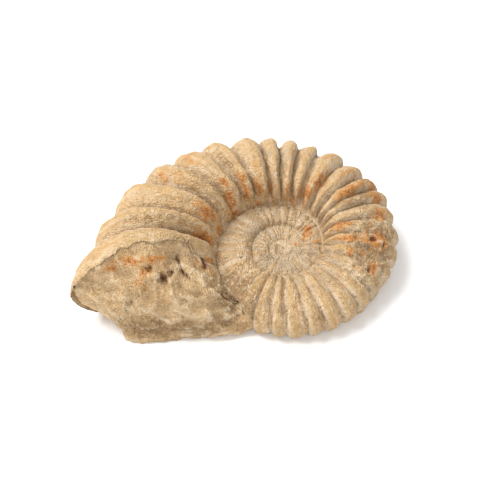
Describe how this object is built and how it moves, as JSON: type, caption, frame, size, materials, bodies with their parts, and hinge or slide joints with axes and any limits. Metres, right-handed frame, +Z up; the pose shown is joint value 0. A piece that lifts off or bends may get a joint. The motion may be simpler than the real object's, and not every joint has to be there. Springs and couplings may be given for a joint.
{
  "type": "fossil ammonite",
  "caption": "Flat-lying stone ammonite: a ribbed spiral shell whose last whorl is broken across, filled with pale limestone.",
  "frame": {"origin": "on the ground, under the middle of the stone's bounding box", "axes": "+Z up as it lies; +X from the broken end towards the coil's rounded end; +Y away from the break's face, towards the propped-up back"},
  "size_m": [0.0998, 0.0704, 0.0301],
  "materials": {
    "limestone": "rough, dry, pale ochre limestone with rust-coloured stains in the grooves"
  },
  "bodies": {
    "root": {"ammonite": "limestone"}
  },
  "joints": []
}
